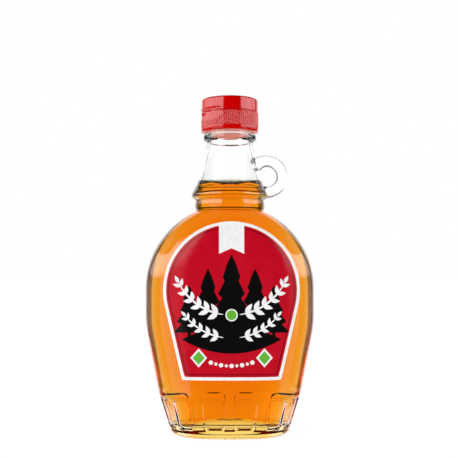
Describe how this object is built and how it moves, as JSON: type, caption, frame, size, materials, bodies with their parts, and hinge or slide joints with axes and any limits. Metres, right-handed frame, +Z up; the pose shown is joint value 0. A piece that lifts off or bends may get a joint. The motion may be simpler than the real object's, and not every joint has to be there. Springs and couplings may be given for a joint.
{
  "type": "maple syrup bottle",
  "caption": "Flat-sided clear glass flask of amber maple syrup with a finger loop on its neck, a red flip-top screw cap and an arched front label.",
  "frame": {"origin": "centre of the foot, on the surface that the bottle stands on", "axes": "+Z up along the neck, +X towards the finger loop across the broad faces, -Y out of the label"},
  "size_m": [0.0886, 0.0459, 0.1753],
  "materials": {
    "glass": "clear, smooth moulded soda-lime glass",
    "syrup": "clear amber liquid",
    "cap": "glossy moulded red polypropylene",
    "label": "satin printed paper, red field with a white border"
  },
  "bodies": {
    "root": {"bottle": "glass", "syrup": "syrup", "cap": "cap", "label": "label"}
  },
  "joints": []
}
